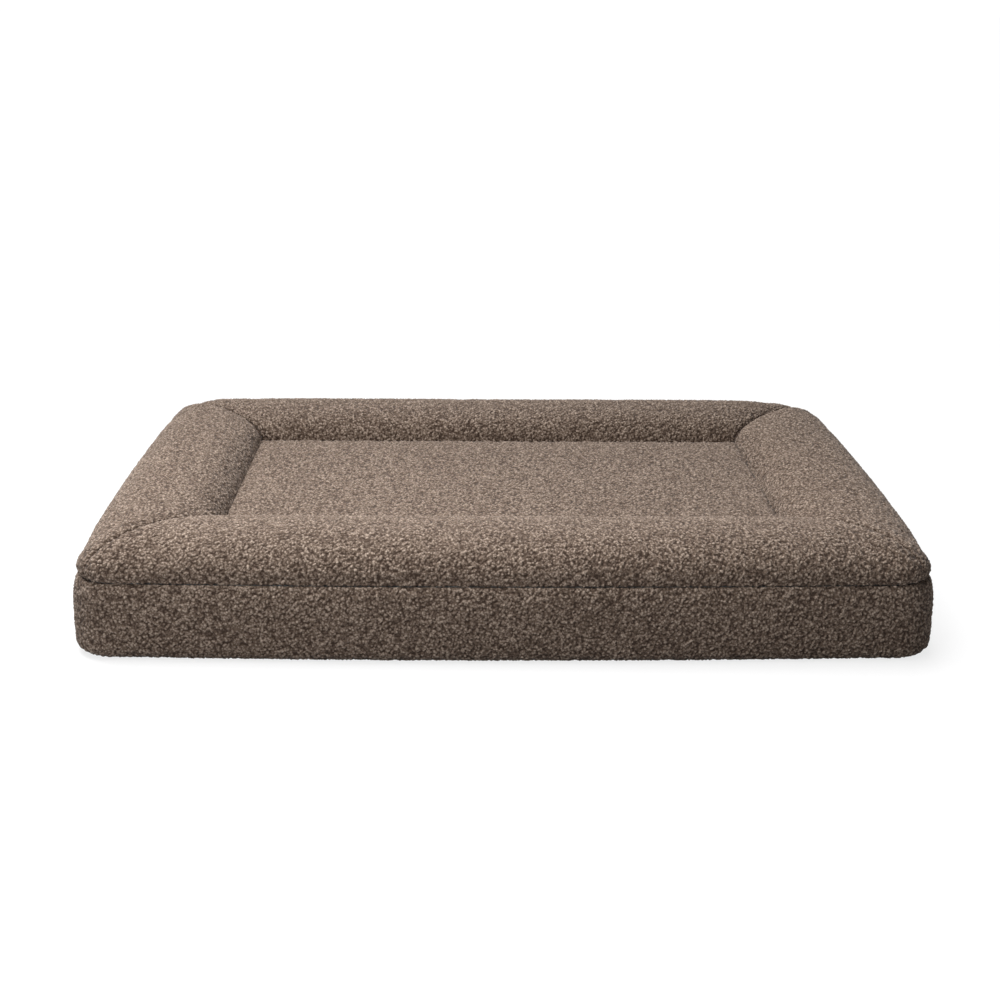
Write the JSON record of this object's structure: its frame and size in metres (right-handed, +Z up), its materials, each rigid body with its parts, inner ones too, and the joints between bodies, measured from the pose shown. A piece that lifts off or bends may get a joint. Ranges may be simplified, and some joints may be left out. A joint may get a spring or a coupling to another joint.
{
  "type": "pet cushion bed",
  "caption": "Rectangular pet bed with a foam base, a sunken sleeping surface inside mitred bolsters, and a zipped cover in nubby boucle fabric.",
  "frame": {"origin": "middle of the underside, on the floor", "axes": "+Z up; the front faces -Y; +X is the bed's width, to the right seen from the front"},
  "size_m": [1.07, 0.755, 0.15],
  "materials": {
    "boucle": "nubby looped boucle, taupe brown, matt",
    "underside": "woven base cloth with grip dots",
    "plain_cloth": "plain polyester weave",
    "liner_film": "coated waterproof cloth",
    "firm_foam": "firm open-cell foam",
    "soft_foam": "soft memory foam",
    "fibre_filling": "loose polyester fibre",
    "zip_tape": "woven polyester tape",
    "zip_coil": "nylon coil",
    "zip_metal": "antique pewter plating"
  },
  "bodies": {
    "bed": {"bottom_panel": "underside", "front_and_side_band": "boucle", "rear_band": "boucle", "sleeping_panel": "boucle", "support_foam": "firm_foam", "comfort_foam": "soft_foam", "inner_liner": "liner_film", "zip_tape_upper": "zip_tape", "zip_tape_lower": "zip_tape", "zip_chain_upper": "zip_coil", "zip_chain_lower": "zip_coil", "zip_top_stop": "zip_metal", "zip_bottom_stop": "zip_metal", "zip_end_tab_right": "boucle", "zip_end_tab_left": "boucle", "bolster_cover_front": "boucle", "bolster_lining_front": "plain_cloth", "bolster_insert_front": "fibre_filling", "bolster_cover_right": "boucle", "bolster_lining_right": "plain_cloth", "bolster_insert_right": "fibre_filling", "bolster_cover_rear": "boucle", "bolster_lining_rear": "plain_cloth", "bolster_insert_rear": "fibre_filling", "bolster_cover_left": "boucle", "bolster_lining_left": "plain_cloth", "bolster_insert_left": "fibre_filling"},
    "zip_slider": {"zip_slider": "zip_metal"},
    "zip_pull": {"zip_pull": "zip_metal"}
  },
  "joints": [
    {"name": "zip_slide", "type": "slide", "parent": "bed", "child": "zip_slider", "axis": [-1, 0, 0], "range_m": [0, 0.848]},
    {"name": "pull_flip", "type": "hinge", "parent": "zip_slider", "child": "zip_pull", "pos_m": [0.424, 0.3687, 0.092], "axis": [0, 0, -1], "range_deg": [0, 180]}
  ]
}
